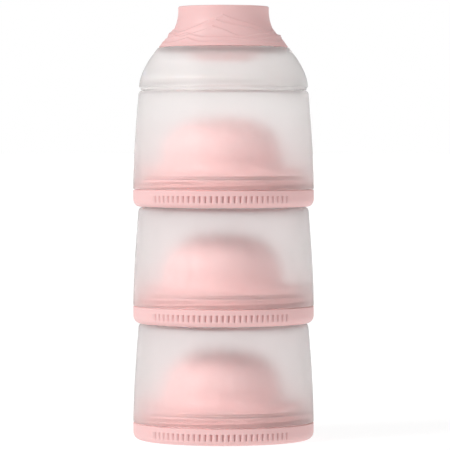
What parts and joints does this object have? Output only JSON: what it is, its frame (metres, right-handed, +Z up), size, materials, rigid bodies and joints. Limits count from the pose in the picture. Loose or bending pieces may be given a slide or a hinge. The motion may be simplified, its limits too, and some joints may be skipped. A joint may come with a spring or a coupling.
{
  "type": "formula dispenser",
  "caption": "Stacked milk powder dispenser: frosted screw-together cups on pink domed bases, with a pouring lid and a flared spout cap.",
  "frame": {"origin": "centre of the underside of the lowest rim, on the surface it stands on", "axes": "+Z up along the stack's axis, -Y towards the front grip flutes, +X to the right seen from the front"},
  "size_m": [0.085, 0.0846, 0.2033],
  "materials": {
    "pink_plastic": "satin moulded polypropylene",
    "frosted_plastic": "frosted translucent polypropylene",
    "silicone": "matte translucent silicone"
  },
  "bodies": {
    "lower_base": {"lower_base": "pink_plastic", "lower_neck_seal": "silicone"},
    "lower_base_seal": {"lower_base_seal": "silicone"},
    "lower_compartment": {"lower_compartment": "frosted_plastic"},
    "middle_neck_seal": {"middle_neck_seal": "silicone"},
    "middle_base": {"middle_base": "pink_plastic"},
    "middle_base_seal": {"middle_base_seal": "silicone"},
    "middle_compartment": {"middle_compartment": "frosted_plastic"},
    "upper_neck_seal": {"upper_neck_seal": "silicone"},
    "upper_base": {"upper_base": "pink_plastic"},
    "upper_base_seal": {"upper_base_seal": "silicone"},
    "upper_compartment": {"upper_compartment": "frosted_plastic"},
    "lid_seal": {"lid_seal": "silicone"},
    "pouring_lid": {"pouring_lid": "frosted_plastic"},
    "cap": {"cap": "pink_plastic", "spout_stopper": "pink_plastic"}
  },
  "joints": [
    {"name": "lower_compartment_turn", "type": "hinge", "parent": "lower_base", "child": "lower_base_seal", "pos_m": [0, 0, 0], "axis": [0, 0, 1], "range_deg": [0, 540]},
    {"name": "lower_compartment_lift", "type": "slide", "parent": "lower_base_seal", "child": "lower_compartment", "axis": [0, 0, 1], "range_m": [0, 0.0071]},
    {"name": "middle_base_lift", "type": "slide", "parent": "lower_compartment", "child": "middle_neck_seal", "axis": [0, 0, 1], "range_m": [0, 0.0071]},
    {"name": "middle_base_turn", "type": "hinge", "parent": "middle_neck_seal", "child": "middle_base", "pos_m": [0, 0, 0], "axis": [0, 0, 1], "range_deg": [0, 540]},
    {"name": "middle_compartment_turn", "type": "hinge", "parent": "middle_base", "child": "middle_base_seal", "pos_m": [0, 0, 0], "axis": [0, 0, 1], "range_deg": [0, 540]},
    {"name": "middle_compartment_lift", "type": "slide", "parent": "middle_base_seal", "child": "middle_compartment", "axis": [0, 0, 1], "range_m": [0, 0.0071]},
    {"name": "upper_base_lift", "type": "slide", "parent": "middle_compartment", "child": "upper_neck_seal", "axis": [0, 0, 1], "range_m": [0, 0.0071]},
    {"name": "upper_base_turn", "type": "hinge", "parent": "upper_neck_seal", "child": "upper_base", "pos_m": [0, 0, 0], "axis": [0, 0, 1], "range_deg": [0, 540]},
    {"name": "upper_compartment_turn", "type": "hinge", "parent": "upper_base", "child": "upper_base_seal", "pos_m": [0, 0, 0], "axis": [0, 0, 1], "range_deg": [0, 540]},
    {"name": "upper_compartment_lift", "type": "slide", "parent": "upper_base_seal", "child": "upper_compartment", "axis": [0, 0, 1], "range_m": [0, 0.0071]},
    {"name": "lid_lift", "type": "slide", "parent": "upper_compartment", "child": "lid_seal", "axis": [0, 0, 1], "range_m": [0, 0.0071]},
    {"name": "lid_turn", "type": "hinge", "parent": "lid_seal", "child": "pouring_lid", "pos_m": [0, 0, 0], "axis": [0, 0, 1], "range_deg": [0, 540]},
    {"name": "cap_pull", "type": "slide", "parent": "pouring_lid", "child": "cap", "axis": [0, 0, 1], "range_m": [0, 0.03]}
  ],
  "couplings": [
    {"joint": "lower_compartment_lift", "follows": "lower_compartment_turn", "m_per_rad": 0.00074803},
    {"joint": "middle_base_lift", "follows": "middle_base_turn", "m_per_rad": 0.00074803},
    {"joint": "middle_compartment_lift", "follows": "middle_compartment_turn", "m_per_rad": 0.00074803},
    {"joint": "upper_base_lift", "follows": "upper_base_turn", "m_per_rad": 0.00074803},
    {"joint": "upper_compartment_lift", "follows": "upper_compartment_turn", "m_per_rad": 0.00074803},
    {"joint": "lid_lift", "follows": "lid_turn", "m_per_rad": 0.00074803}
  ]
}
